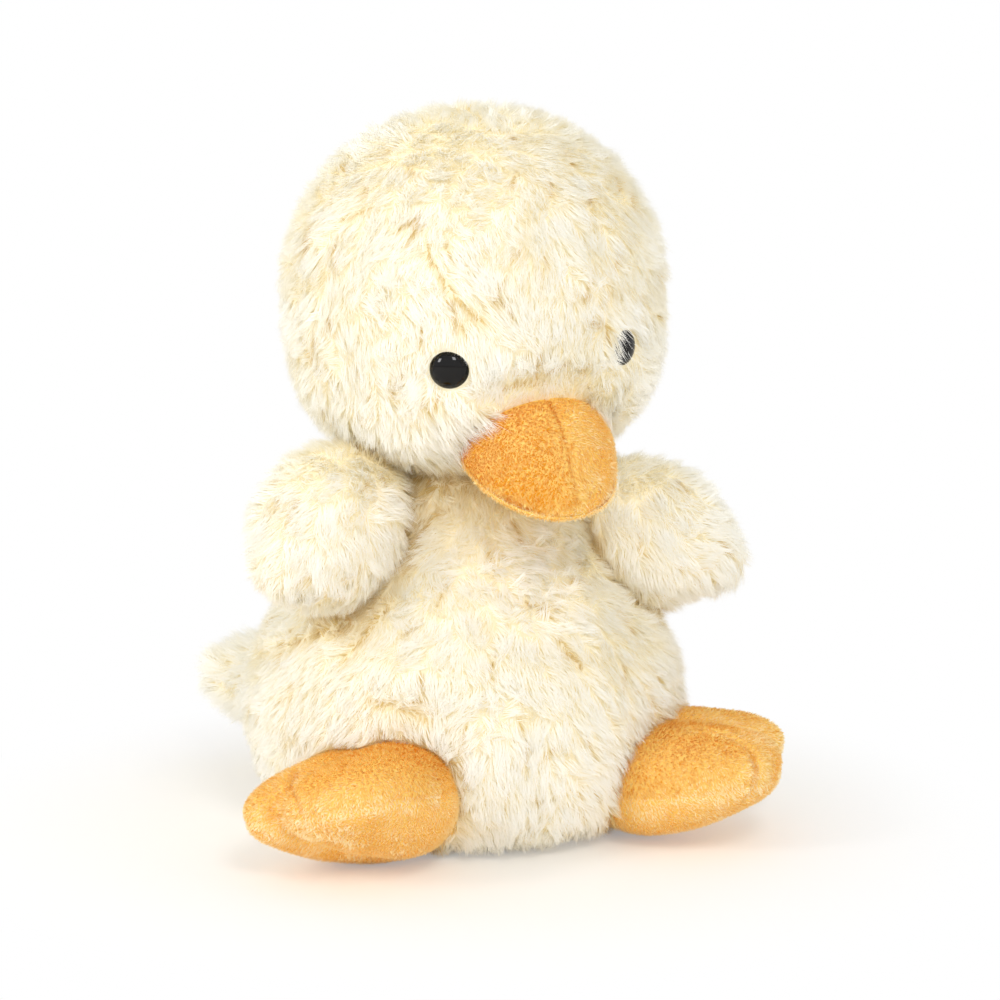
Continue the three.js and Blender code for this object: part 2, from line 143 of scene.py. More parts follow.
# Two soft boxes in a white tent, wide apart in front of the toy: the glossy eyes mirror them as two windows

# Degrees off the camera's azimuth, and degrees up
SOFTBOXES = {"softbox_left": (-57, 25), "softbox_right": (14, 38)}
SOFTBOX_SIZE = (0.2, 0.25)
SOFTBOX_DISTANCE = 0.9
SOFTBOX_WATTS = 2.1
for name, (across, up) in SOFTBOXES.items():
    light = bpy.data.lights.new(name, "AREA")
    light.shape = "RECTANGLE"
    light.size, light.size_y = SOFTBOX_SIZE
    light.energy = SOFTBOX_WATTS
    aimed(placed(name, light), seen_from(VIEW_AZIMUTH + across, up, SOFTBOX_DISTANCE))

world = bpy.data.worlds.new("white_tent")
world.use_nodes = True
bpy.context.scene.world = world
tree = world.node_tree
tree.nodes.clear()
path = add_node(tree, "ShaderNodeLightPath")
mirrored_or_seen = add_node(tree, "ShaderNodeMath", {0: path.outputs["Is Camera Ray"],
                                                     1: path.outputs["Is Glossy Ray"]}, operation="MAXIMUM")
shown = add_node(tree, "ShaderNodeMath", {0: mirrored_or_seen.outputs[0],
                                          1: path.outputs["Is Transmission Ray"]}, operation="MAXIMUM")
tent_light = add_node(tree, "ShaderNodeBackground", {"Color": linear("#FFFFFC"), "Strength": 0.74})
tent_seen = add_node(tree, "ShaderNodeBackground", {"Color": (1, 1, 1, 1), "Strength": 1.0})
tent = add_node(tree, "ShaderNodeMixShader", {0: shown.outputs[0], 1: tent_light.outputs[0],
                                              2: tent_seen.outputs[0]})
add_node(tree, "ShaderNodeOutputWorld", {"Surface": tent.outputs[0]})

# White sweep table: it keeps the toy's shadow near it, and runs out into the white backdrop

SHADOW_REACH = (0.055, 0.115)  # metres from the middle, where the table turns into backdrop
TABLE_HALF = 3.0  # metres
floor_material, tree = new_material("white_laminate_table")
spot = add_node(tree, "ShaderNodeTexCoord")
reach = add_node(tree, "ShaderNodeVectorMath", {0: spot.outputs["Object"]}, operation="LENGTH")
fade = add_node(tree, "ShaderNodeMapRange", {
    "Value": reach.outputs["Value"], "From Min": SHADOW_REACH[0], "From Max": SHADOW_REACH[1],
    "To Min": 0.3, "To Max": 1.0}, interpolation_type="SMOOTHSTEP")
path = add_node(tree, "ShaderNodeLightPath")
far = add_node(tree, "ShaderNodeMath", {0: fade.outputs["Result"], 1: path.outputs["Is Camera Ray"]},
               operation="MULTIPLY")
near_floor = add_node(tree, "ShaderNodeBsdfPrincipled", {"Base Color": linear("#FFFCF8"), "Roughness": 0.8,
                                                         "Specular IOR Level": 0.1})
far_floor = add_node(tree, "ShaderNodeEmission", {"Color": (1, 1, 1, 1), "Strength": 1.0})
mixed = add_node(tree, "ShaderNodeMixShader", {0: far.outputs[0], 1: near_floor.outputs[0],
                                               2: far_floor.outputs[0]})
add_node(tree, "ShaderNodeOutputMaterial", {"Surface": mixed.outputs[0]})
bm = bmesh.new()
bmesh.ops.create_grid(bm, x_segments=2, y_segments=2, size=TABLE_HALF)
floor_mesh = mesh_from(bm, "table_top")
floor_mesh.materials.append(floor_material)
floor = placed("table_top", floor_mesh)

# The CAD forms, in millimetres

HEAD_HALF = np.array([39, 37, 36.5])
HEAD_CENTRE = np.array([0, -4.5, 111.5])
HEAD_TILT = 4
JOWL_POWER = 2.9
CROWN_POWER = 2.05
GUSSET_HALF = np.array([13.5, 40])
GUSSET_DROP = 9

BODY_HALF_WIDTH = 45.5
BODY_DEPTH_SHARE = 88 / 91
BODY_HEIGHT = 84
FLAT_CUT = 0.5
BODY_PROFILE = [(0, 0), (0.3, 0.001), (0.56, 0.007), (0.78, 0.032), (0.92, 0.105), (0.99, 0.22), (1, 0.34),
                (0.955, 0.45), (0.85, 0.56), (0.72, 0.67), (0.61, 0.77), (0.53, 0.86), (0.36, 0.96), (0, 1)]
BASE_RADIUS = 32
BASE_HEIGHT = 9
SIDE_SEAM_Y = -7

BEAK_HALF_WIDTH = 15.75
BEAK_FRONT = 20.5
BEAK_BACK = 12
BEAK_UPPER = 15
BEAK_LOWER = 4.5
BEAK_PITCH = 28
BEAK_POWER = 1.75
BEAK_CENTRE = np.array([0, -31, 80])

WING_HALF = np.array([21.5, 14.5, 17])
WING_TIP_SHARE = 0.42
WING_DROOP = 19
WING_ROOT = np.array([27, -9, 58])
WING_OUT = 10
WING_SWEEP = {1: 20, -1: 34}
WING_LIFT = {1: 0, -1: 7}

FOOT_HALF = np.array([21, 19.5])
FOOT_OUTLINE = [(0.78, 0.4), (0.9, 0.54), (0.92, 0.7), (0.72, 0.9), (0.34, 0.98), (-0.1, 0.94),
                (-0.48, 0.8), (-0.84, 0.48), (-1, 0), (-0.84, -0.5), (-0.44, -0.84), (0.04, -0.98),
                (0.5, -0.97), (0.86, -0.76), (1, -0.4), (0.99, 0), (0.9, 0.26)]
ANKLE_THICKNESS = 26
TOE_THICKNESS = 17.5
TOE_LIFT = 8
FOOT_FULLNESS = 0.75
VALLEY_DEPTH = 0.26
VALLEY_WIDTH = 4
FOOT_ROLL = {1: 3, -1: -15}
FOOT_CENTRE = np.array([34.5, -32, 0])
LEG_TURN = -36

TAIL_HALF = np.array([12, 25, 12])
TAIL_CENTRE = np.array([-19, 47, 19.5])
TAIL_TIP_SHARE = 0.1
TAIL_RISE = 2
TAIL_BEND = 46


def smooth_line(points, steps, closed=False):
    """steps points on a centripetal Catmull-Rom line, even in the knots' order."""
    p = np.array(points, float)
    count = len(p) if closed else len(p) - 1
    p = np.vstack([p[-1], p, p[:2]]) if closed else np.vstack([2 * p[0] - p[1], p, 2 * p[-1] - p[-2]])
    t = np.linspace(0, count, steps)
    k = np.minimum(t.astype(int), count - 1)
    w = (t - k)[:, None]
    p0, p1, p2, p3 = (p[k + i] for i in range(4))
    d0, d1, d2 = (np.maximum(np.linalg.norm(b - a, axis=1, keepdims=True), 1e-6) ** 0.5
                  for a, b in ((p0, p1), (p1, p2), (p2, p3)))
    t1 = ((p1 - p0) / d0 - (p2 - p0) / (d0 + d1) + (p2 - p1) / d1) * d1
    t2 = ((p2 - p1) / d1 - (p3 - p1) / (d1 + d2) + (p3 - p2) / d2) * d1
    return (p1 * (2 * w ** 3 - 3 * w ** 2 + 1) + p2 * (3 * w ** 2 - 2 * w ** 3)
            + t1 * (w ** 3 - 2 * w ** 2 + w) + t2 * (w ** 3 - w ** 2))


profile = smooth_line(BODY_PROFILE, 400) * [BODY_HALF_WIDTH, BODY_HEIGHT] - [0, FLAT_CUT]
profile_run = np.concatenate([[0], np.cumsum(np.linalg.norm(np.diff(profile, axis=0), axis=1))])
profile_run /= profile_run[-1]
foot_rim = smooth_line(np.array(FOOT_OUTLINE) * FOOT_HALF, 400, closed=True)
foot_turn = np.linspace(0, 1, 400)
toe_valley = foot_rim[0]


def tilted(points, way=-1):
    """The head's small tilt, or with way 1 the way back from it."""
    middle = [0, 0, HEAD_CENTRE[2]]
    return turned(points - middle, way * HEAD_TILT, "Y") + middle


def head_form(d):
    flat = np.hypot(d[:, 0], d[:, 1])
    power = np.where(d[:, 2] < 0, JOWL_POWER, CROWN_POWER)
    size = (flat ** power + np.abs(d[:, 2]) ** power) ** (-1 / power)
    return tilted(d * size[:, None] * HEAD_HALF + HEAD_CENTRE)


def body_form(d):
    run = np.arccos(np.clip(-d[:, 2], -1, 1)) / math.pi
    out = np.interp(run, profile_run, profile[:, 0])
    flat = unit(d[:, :2])
    return np.column_stack([flat[:, 0] * out, flat[:, 1] * out * BODY_DEPTH_SHARE,
                            np.interp(run, profile_run, profile[:, 1])])


def beak_local(d):
    front, upper = d[:, 1] < 0, d[:, 2] > 0
    along = np.abs(d[:, 1])
    sharp = (along ** BEAK_POWER + np.maximum(1 - along ** 2, 0) ** (BEAK_POWER / 2)) ** (-1 / BEAK_POWER)
    size = np.where(front & upper, sharp, 1)
    return np.column_stack([d[:, 0] * size * BEAK_HALF_WIDTH,
                            d[:, 1] * size * np.where(front, BEAK_FRONT, BEAK_BACK),
                            d[:, 2] * size * np.where(upper, BEAK_UPPER, BEAK_LOWER)])


def beak_form(d):
    return tilted(turned(beak_local(d), BEAK_PITCH, "X") + BEAK_CENTRE)


def on_beak(points):
    """Points in the beak's own axes: its mouth plane is z = 0 and its tip is at -y."""
    return turned(tilted(points, 1) - BEAK_CENTRE, -BEAK_PITCH, "X")


def wing_form(side):
    def place(d):
        d = d * [side, 1, 1]
        slim = (1 - WING_TIP_SHARE * np.maximum(d[:, 0], 0) ** 2)[:, None]
        points = d * WING_HALF * np.hstack([np.ones_like(slim), slim, slim])
        points = turned(points, WING_DROOP, "Y") + [WING_OUT, 0, 0]
        points = turned(points, -WING_SWEEP[side], "Z") + WING_ROOT + [0, 0, WING_LIFT[side]]
        return points * [side, 1, 1]
    return place


def foot_forward(along):
    return smoothstep(along / FOOT_HALF[0], -0.6, 1)


def foot_middle(along):
    """Height of the seam round a foot, in the foot's own axes."""
    forward = foot_forward(along)
    return ANKLE_THICKNESS / 2 * (1 - forward) + (TOE_LIFT + TOE_THICKNESS / 2) * forward - FLAT_CUT


def on_foot(points, side):
    """Points in the foot's own axes: toes at +x, rear lobe at +y."""
    flat = turned(points * [side, 1, 1] - FOOT_CENTRE, -LEG_TURN, "Z") - [0, 0, ANKLE_THICKNESS / 2]
    return turned(flat, -FOOT_ROLL[side], "X") + [0, 0, ANKLE_THICKNESS / 2]


def foot_form(side):
    def place(d):
        d = d * [side, 1, 1]
        turn = (np.arctan2(d[:, 1], d[:, 0]) / (2 * math.pi)) % 1
        rim = np.hypot(d[:, 0], d[:, 1]) ** 0.8
        along = np.interp(turn, foot_turn, foot_rim[:, 0]) * rim
        across = np.interp(turn, foot_turn, foot_rim[:, 1]) * rim
        forward = foot_forward(along)
        aside = across - along * toe_valley[1] / toe_valley[0]
        valley = 1 - VALLEY_DEPTH * forward * np.exp(-((aside / VALLEY_WIDTH) ** 2))
        thickness = ANKLE_THICKNESS * (1 - forward) + TOE_THICKNESS * forward
        full = np.where(d[:, 2] > 0, np.abs(d[:, 2]) ** FOOT_FULLNESS, d[:, 2])
        points = np.column_stack([along, across, foot_middle(along) + full * thickness / 2 * valley])
        ankle = [0, 0, ANKLE_THICKNESS / 2]
        points = turned(points - ankle, FOOT_ROLL[side], "X") + ankle
        return (turned(points, LEG_TURN, "Z") + FOOT_CENTRE) * [side, 1, 1]
    return place


def tail_form(d):
    slim = (1 - TAIL_TIP_SHARE * np.maximum(d[:, 1], 0))[:, None]
    points = d * TAIL_HALF * np.hstack([slim, np.ones_like(slim), slim])
    return turned(turned(points, TAIL_RISE, "X"), TAIL_BEND, "Z") + TAIL_CENTRE


def on_tail(points):
    return turned(turned(points - TAIL_CENTRE, -TAIL_BEND, "Z"), -TAIL_RISE, "X")


def on_wing(points, side):
    """Points in the wing's own axes, before its droop: its tip is at +x and the seam at y = 0."""
    return turned(points * [side, 1, 1] - WING_ROOT - [0, 0, WING_LIFT[side]], WING_SWEEP[side], "Z")


# Backing skins


def coordinates(mesh):
    flat = np.empty(len(mesh.vertices) * 3)
    mesh.vertices.foreach_get("co", flat)
    return flat.reshape(-1, 3)


def normals_of(mesh):
    flat = np.empty(len(mesh.vertices) * 3)
    mesh.vertex_normals.foreach_get("vector", flat)
    return flat.reshape(-1, 3)


whole = {}  # each skin's form before it is pressed against its neighbours
corners = {}  # the low and the high corner of each skin
WAVE_SIZE = 9  # mm, of the waves in the stuffing
SKIN_GAP = 0.3  # mm between skins that press on each other
SEARCH_REACH = 0.03  # metres


def moulded(name, form, levels, inset, clear_of=(), seams=None, waves=0.0):
    """A closed skin on a CAD form, moved inwards by inset mm, drawn in along its seams, with soft waves in
    its stuffing, and pressed flat where it meets the skins of clear_of."""
    bm = bmesh.new()
    bmesh.ops.create_icosphere(bm, subdivisions=levels, radius=1)
    directions = unit(np.array([v.co for v in bm.verts]))
    for vert, point in zip(bm.verts, form(directions)):
        vert.co = point
    bmesh.ops.recalc_face_normals(bm, faces=bm.faces)
    bm.normal_update()
    points = np.array([v.co for v in bm.verts])
    normals = np.array([v.normal for v in bm.verts])
    faces = [[v.index for v in f.verts] for f in bm.faces]
    whole[name] = BVHTree.FromPolygons([v.co * MM for v in bm.verts], faces)  # for seams found on it
    depth = inset + waves * drift(points * MM, WAVE_SIZE * MM, 1)[:, 0]
    if seams:
        depth = depth + seams(points)
    for vert, point in zip(bm.verts, (points - normals * depth[:, None]) * MM):
        vert.co = point
    mesh = mesh_from(bm, name)
    whole[name] = BVHTree.FromPolygons([v.co for v in mesh.vertices], [p.vertices for p in mesh.polygons])
    corners[name] = (coordinates(mesh).min(0), coordinates(mesh).max(0))
    for other in clear_of:
        mesh.vertices.foreach_set("co", kept_out(coordinates(mesh), other, SKIN_GAP * MM).ravel())
    mesh.shade_smooth()
    return placed(name, mesh)


def close_to(points, name, reach):
    """Indices of the points in a skin's box, widened by reach."""
    low, high = corners[name]
    return np.flatnonzero(((points > low - reach) & (points < high + reach)).all(1))


def too_near(points, name, margin):
    """The points inside a skin, or closer to it than margin: each one's index, with the skin's nearest place
    and its normal there."""
    for i in close_to(points, name, abs(margin)):
        point = Vector(points[i])
        place, normal, _, _ = whole[name].find_nearest(point, SEARCH_REACH)
        if place is not None and (point - place).dot(normal) < margin:
            yield i, place, normal


def kept_out(points, name, clearance):
    """The points, with those too near a skin moved out to the clearance."""
    moved = points.copy()
    for i, place, normal in too_near(points, name, clearance):
        moved[i] = place + normal * clearance
    return moved


def inside(points, name, margin):
    """Which points are too near a skin."""
    found = np.zeros(len(points), bool)
    for i, _, _ in too_near(points, name, margin):
        found[i] = True
    return found


# Pile

STRAND_SECTION = ((-1.0, 0.25), (0.0, -0.35), (1.0, 0.25))  # across the strand, then outwards
TONES = 48  # columns of the strand map, one for each tone
MAX_STRANDS = 49000
FLATTENED = 0.25  # mm, height of pile that lies flat under a neighbour
TIP_FLOOR = 0.25  # mm, lowest place of a tip, and of a strand's other corners
CORNER_FLOOR = 0.05
CREASE_DIP = 0.45  # share of its height that the pile loses in a crease, and in a bare furrow
BARE_DIP = 0.6
MEAN_TONE = 0.6
# Painted shade: the pile's tone deepens in a crease, in a furrow and beside a neighbour's skin
CREASE_SHADE_TONE = 0.35  # how much deeper the tone is in a crease, in a furrow, and against a neighbour
FURROW_SHADE_TONE = 0.9
NEIGHBOUR_SHADE_TONE = 0.62


def strand_pattern():
    """One closed three-sided strand of unit radius and height: its vertices, its faces, and where each
    corner lies on the strand's strip. Its flat side faces outwards."""
    bm = bmesh.new()
    bmesh.ops.create_cone(bm, cap_ends=True, segments=3, radius1=1, radius2=0, depth=1)
    bmesh.ops.remove_doubles(bm, verts=bm.verts, dist=0.001)
    bmesh.ops.translate(bm, vec=(0, 0, 0.5), verts=bm.verts)
    foot = sorted((v for v in bm.verts if v.co.z < 0.5), key=lambda v: v.co.x)
    for vert, (x, y) in zip(foot, STRAND_SECTION):
        vert.co = (x, y, 0)
    bmesh.ops.recalc_face_normals(bm, faces=bm.faces)
    bm.verts.index_update()
    verts = np.array([v.co for v in bm.verts])
    faces = [[v.index for v in f.verts] for f in bm.faces]
    strip = []
    for face in faces:
        for place, v in enumerate(face):
            if verts[face][:, 2].max() < 0.5:  # the root's cap
                strip.append((place / 2, 0.02 * (place % 2)))
            else:
                strip.append((0.5 if verts[v][2] > 0.5 else float(verts[v][0] > verts[face][:2, 0].mean()),
                              verts[v][2]))
    bm.free()
    return verts, faces, np.array(strip)


STRAND_VERTS, STRAND_FACES, STRAND_STRIP = strand_pattern()


def scattered(mesh, count, rng):
    """Points spread evenly over a mesh, with the surface's smooth normals."""
    mesh.calc_loop_triangles()
    corners = np.empty(len(mesh.loop_triangles) * 3, int)
    mesh.loop_triangles.foreach_get("vertices", corners)
    corners = corners.reshape(-1, 3)
    co, normals = coordinates(mesh), normals_of(mesh)
    a, b, c = (co[corners[:, i]] for i in range(3))
    area = np.linalg.norm(np.cross(b - a, c - a), axis=1) / 2
    reached = np.cumsum(area)
    picked = np.searchsorted(reached, (np.arange(count) + rng.random(count)) / count * reached[-1])
    picked = np.minimum(picked, len(area) - 1)
    u, v = rng.random((2, count))
    over = u + v > 1
    u[over], v[over] = 1 - u[over], 1 - v[over]
    share = np.column_stack([1 - u - v, u, v])
    spots = np.einsum("ij,ijk->ik", share, co[corners[picked]])
    facing = unit(np.einsum("ij,ijk->ik", share, normals[corners[picked]]))
    return spots, facing


def area_of(mesh):
    return sum(p.area for p in mesh.polygons) / MM ** 2


def nearest(points, centres):
    found = KDTree(len(centres))
    for i, centre in enumerate(centres):
        found.insert(centre, i)
    found.balance()
    return np.array([found.find(point)[1] for point in points])


def drift(points, scale, seed):
    """A smooth wandering vector at each point, of about unit length, with waves of scale metres."""
    shift = Vector((seed * 3.7, seed * 1.3, seed * 7.1))
    return np.array([noise.noise_vector(Vector(p) / scale + shift) for p in points]) * 1.7


def off_line(points, line):
    """Each point's offset from the nearest point of a line."""
    offset = points[:, None] - line[None]
    place = np.linalg.norm(offset, axis=2).argmin(1)
    return offset[np.arange(len(points)), place]


def creased(points, creases):
    """How deep each point in mm lies in a crease, 1 on its line and 0 well off it, and the way off it."""
    depth, away = np.zeros(len(points)), np.zeros((len(points), 3))
    for line, width, strength in creases:
        offset = off_line(points, line)
        share = strength * np.exp(-((np.linalg.norm(offset, axis=1) / width) ** 2))
        away += unit(offset) * share[:, None]
        depth = np.maximum(depth, share)
    return depth, away


def shaded(points, neighbours):
    """How near each point is to its neighbours' skins: 1 against one, 0 beyond its reach in mm."""
    near = np.zeros(len(points))
    for name, reach in neighbours:
        for i in close_to(points, name, reach * MM):
            distance = whole[name].find_nearest(Vector(points[i]), reach * MM)[3]
            if distance is not None:
                near[i] = max(near[i], 1 - distance / (reach * MM))
    return near


def lying(way, facing):
    return unit(way - facing * np.sum(way * facing, axis=1, keepdims=True))


def combed(spots, facing, style, comb, creases, rng, wander):
    """The way and the height of the pile at each spot, and how deep that spot lies in a crease."""
    depth, away = creased(spots / MM, creases)
    way = comb(spots / MM) + drift(spots, style["wave"] * MM, style["seed"]) * style["wave_turn"]
    way = lying(way + rng.normal(size=way.shape) * wander + away * style["part"], facing)
    return way, 1 - CREASE_DIP * depth, depth


def furrows(roots, locks, lock_way, style, creases, rng):
    """How deep each root lies in a thin furrow where the pile parts and its shaded ground shows: scattered
    short ones along the lie of the pile, and the middle of each deep crease."""
    if not style["flecks"]:
        return np.zeros(len(roots))
    picked = rng.choice(len(locks), int(len(locks) * style["flecks"]), replace=False)
    length = style["fleck"] * (0.6 + 0.8 * rng.random((len(picked), 1, 1)))
    steps = np.linspace(0, 1, 12)[None, :, None]
    marks = [(locks[picked][:, None] + lock_way[picked][:, None] * steps * length * MM).reshape(-1, 3)]
    marks += [line * MM for line, _, strength in creases if strength > 0.5]
    tree = KDTree(sum(len(m) for m in marks))
    for i, mark in enumerate(np.concatenate(marks)):
        tree.insert(mark, i)
    tree.balance()
    distance = np.array([tree.find(root)[2] for root in roots]) / MM
    return np.exp(-((distance / style["fleck_width"]) ** 2))


def grown(skin, style, comb, shy_of=(), under=(), around=(), creases=(), without=None, painted_light_and_rows=None,
          longer=None, painted_shade_near=()):
    """A pile as root and tip points on a skin: tips drawn together in locks, and the locks in tufts.

    shy_of: skins and margins in mm. Strands rooted nearer than that, or inside, are left out.
    under: skins that the pile lies flat beneath. around: skins and clearances in mm that it lies on.
    The last argument: skins and reaches in mm within which the tone deepens, painted shade beside a
    neighbour.
    """
    rng = np.random.default_rng(style["seed"])
    mesh = skin.data
    area = area_of(mesh)
    roots, facing = scattered(mesh, int(area * style["density"]), rng)
    for other, margin in shy_of:
        keep = ~inside(roots, other, margin * MM)
        roots, facing = roots[keep], facing[keep]
    beneath = np.zeros(len(roots), bool)
    for other in under:
        beneath |= inside(roots, other, 0.2 * MM)
    tufts, tuft_facing = scattered(mesh, int(area / style["tuft"] ** 2), rng)
    locks, lock_facing = scattered(mesh, int(area / style["lock"] ** 2), rng)
    lift, lie = style["lift"] * MM, style["lie"] * MM
    tuft_way, tuft_full, _ = combed(tufts, tuft_facing, style, comb, creases, rng, style["tuft_turn"])
    tuft_tip = tufts + (tuft_facing * lift * 1.25 + tuft_way * lie) * tuft_full[:, None]
    lock_way, lock_full, depth = combed(locks, lock_facing, style, comb, creases, rng, style["lock_turn"])
    lock_full = lock_full * (1 + rng.normal(size=len(locks)) * style["length_spread"])
    if longer:
        lock_full = lock_full * (1 + longer(locks / MM))
    lock_lift = lift * (1 + rng.normal(size=len(locks)) * style["lift_spread"]) * lock_full
    lock_offset = lock_facing * lock_lift[:, None] + lock_way * (lie * lock_full)[:, None]
    of_tuft = nearest(locks, tufts)
    gather = (style["tuft_pull"] * (1 - depth))[:, None]
    lock_tip = (locks + lock_offset) * (1 - gather) + tuft_tip[of_tuft] * gather
    of_lock = nearest(roots, locks)
    count = len(roots)
    offset = (lock_tip - locks)[of_lock]
    outwards = np.sum(offset * lock_facing[of_lock], axis=1)
    height = outwards * (1 + rng.normal(size=count) * style["lift_spread"])
    run = offset - lock_facing[of_lock] * outwards[:, None]
    length = np.linalg.norm(run, axis=1, keepdims=True)
    run = run + length * rng.normal(size=(count, 3)) * style["strand_turn"]
    run = run - facing * np.sum(run * facing, axis=1, keepdims=True)
    run = run * (1 + rng.normal(size=(count, 1)) * 0.15)
    pull = (style["lock_pull"] * (0.5 + rng.random(count)))[:, None]
    tips = roots + run + facing * np.maximum(height, 0.2 * lift)[:, None]
    tips = tips * (1 - pull) + lock_tip[of_lock] * pull
    tips += rng.normal(size=tips.shape) * style["fray"] * MM
    bare = furrows(roots, locks, lock_way, style, creases, rng)
    tips = roots + (tips - roots) * (1 - BARE_DIP * bare)[:, None]
    tone = MEAN_TONE + style["tone_spread"] * rng.normal(size=len(locks))[of_lock]
    tone = tone + style["speckle"] * rng.normal(size=count)
    stain = np.clip(drift(locks, style["stain"] * MM, style["seed"] + 9)[:, 0], -1, 1)
    # the deeper tone in creases and furrows is painted shade
    tone = tone + style["stain_depth"] * stain[of_lock] - CREASE_SHADE_TONE * depth[of_lock] - FURROW_SHADE_TONE * bare
    tone = tone - NEIGHBOUR_SHADE_TONE * shaded(locks, painted_shade_near)[of_lock]  # painted shade: the tone deepens near a neighbour's skin
    if painted_light_and_rows:
        tone = tone + painted_light_and_rows(locks / MM)[of_lock]
    flat = tips - roots
    flat = flat - facing * (np.sum(flat * facing, axis=1, keepdims=True) - FLATTENED * MM)
    for other, clearance in around:
        tips = kept_out(tips, other, clearance * MM)
    tips[beneath] = (roots + flat)[beneath]
    lines = np.stack([roots, tips], axis=1)
    lines[:, :, 2] = np.maximum(lines[:, :, 2], TIP_FLOOR * MM)
    growth = {"lines": lines, "roots": roots, "facing": facing, "tone": np.clip(tone, 0, 1),
              "width": style["width"] * MM * (0.7 + 0.6 * rng.random(count))}
    if without:
        keep = ~without(lines / MM, rng)
        growth = {key: value[keep] for key, value in growth.items()}
    return growth


def pile_piece(name, growth, chosen, material):
    """One mesh of strands: the pattern strand, laid along each line from root to tip."""
    lines, facing = growth["lines"][chosen], growth["facing"][chosen]
    tone, width = growth["tone"][chosen], growth["width"][chosen]
    count, per = len(lines), len(STRAND_VERTS)
    along = unit(lines[:, 1] - lines[:, 0])
    across = unit(np.cross(facing + 0.01, along))
    over = np.cross(along, across)
    half = width[:, None, None] / 2
    points = (lines[:, :1] + (lines[:, 1:] - lines[:, :1]) * STRAND_VERTS[None, :, 2:]
              + across[:, None] * half * STRAND_VERTS[None, :, :1]
              + over[:, None] * half * STRAND_VERTS[None, :, 1:2])
    points[:, :, 2] = np.maximum(points[:, :, 2], CORNER_FLOOR * MM)
    mesh = bpy.data.meshes.new(name)
    sizes = np.array([len(f) for f in STRAND_FACES])
    corners = np.concatenate([np.array(f) for f in STRAND_FACES])
    loops = (corners[None] + np.arange(count)[:, None] * per).ravel()
    starts = np.concatenate([[0], np.cumsum(np.tile(sizes, count))[:-1]])
    mesh.vertices.add(count * per)
    mesh.vertices.foreach_set("co", points.ravel())
    mesh.loops.add(len(loops))
    mesh.loops.foreach_set("vertex_index", loops)
    mesh.polygons.add(len(starts))
    mesh.polygons.foreach_set("loop_start", starts)
    mesh.update(calc_edges=True)
    column = np.minimum((tone * TONES).astype(int), TONES - 1)
    strip = np.empty((count, len(corners), 2))
    strip[:, :, 0] = (column[:, None] + 0.15 + 0.7 * STRAND_STRIP[None, :, 0]) / TONES
    strip[:, :, 1] = 0.01 + 0.98 * STRAND_STRIP[None, :, 1]
    for layer in ("strand", "OFBake"):
        mesh.uv_layers.new(name=layer).data.foreach_set("uv", strip.ravel())
    mesh.shade_flat()
    mesh.materials.append(material)
    return placed(name, mesh)


def pile(names, growth, panel_of, material, body):
    """The strands of one skin as pieces, panel by panel, each with few enough strands. The first piece of a
    panel replaces the panel's node."""
    label = panel_of(growth["roots"] / MM)
    materials = material if isinstance(material, tuple) else (material,) * len(names)
    for i, name in enumerate(names):
        members = np.flatnonzero(label == i)
        parts = max(1, math.ceil(len(members) / MAX_STRANDS))
        for part in range(parts):
            title = f"{name}_{part + 1}" if parts > 1 else name
            piece = pile_piece(title, growth, members[part::parts], materials[i])
            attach(piece, body)
            if part == 0:
                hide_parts(f"{name}_panel")


# Materials

ROOT_SHARE = 0.5  # share of a strand's length over which its root's shade fades
BACKING_PATCHES = 90.0  # waves to a metre: worn patches, the beads' haze and the washers' cloud
EYE_HAZE = 900.0
WASHER_CLOUD = 400.0


def strand_material(name, tones, root, roughness, sheen):
    """Dyed polyester fibre. The strand map gives the tone across and root to tip upwards: towards the root
    the colour is multiplied by the root tint, painted shade deep in the pile."""
    material, tree = new_material(name)
    place = add_node(tree, "ShaderNodeUVMap", uv_map="strand")
    split = add_node(tree, "ShaderNodeSeparateXYZ", {0: place.outputs["UV"]})
    tone = add_node(tree, "ShaderNodeValToRGB", {0: split.outputs["X"]}, stops=tones)
    shade = add_node(tree, "ShaderNodeMapRange", {
        "Value": split.outputs["Y"], "From Min": 0.0, "From Max": ROOT_SHARE, "To Min": 1.0, "To Max": 0.0})
    colour = add_node(tree, "ShaderNodeMix", {
        "Factor": shade.outputs["Result"], 6: tone.outputs["Color"], 7: linear(root)},
        data_type="RGBA", blend_type="MULTIPLY")
    surface = add_node(tree, "ShaderNodeBsdfPrincipled", {
        "Base Color": colour.outputs[2], "Roughness": roughness, "Specular IOR Level": 0.1,
        "Sheen Weight": sheen, "Sheen Roughness": 0.5})
    add_node(tree, "ShaderNodeOutputMaterial", {"Surface": surface.outputs[0]})
    return material


def backing_material(name, low, high, stitch):
    """Warp-knitted backing: fine loops, stitch millimetres apart, in two tones."""
    material, tree = new_material(name)
    place = add_node(tree, "ShaderNodeTexCoord")
    loops = add_node(tree, "ShaderNodeTexVoronoi", {
        "Vector": place.outputs["Object"], "Scale": 1 / (stitch * MM)})
    patches = add_node(tree, "ShaderNodeTexNoise", {
        "Vector": place.outputs["Object"], "Scale": BACKING_PATCHES, "Detail": 4.0})
    mixed = add_node(tree, "ShaderNodeMath", {0: loops.outputs["Distance"], 1: patches.outputs["Fac"]},
                     operation="MULTIPLY")
    colour = add_node(tree, "ShaderNodeValToRGB", {0: mixed.outputs[0]}, stops=((0.05, high), (0.5, low)))
    bump = add_node(tree, "ShaderNodeBump", {
        "Height": loops.outputs["Distance"], "Strength": 0.5, "Distance": 0.2 * MM}, invert=True)
    surface = add_node(tree, "ShaderNodeBsdfPrincipled", {
        "Base Color": colour.outputs["Color"], "Roughness": 0.9, "Specular IOR Level": 0.15,
        "Normal": bump.outputs["Normal"]})
    add_node(tree, "ShaderNodeOutputMaterial", {"Surface": surface.outputs[0]})
    return material


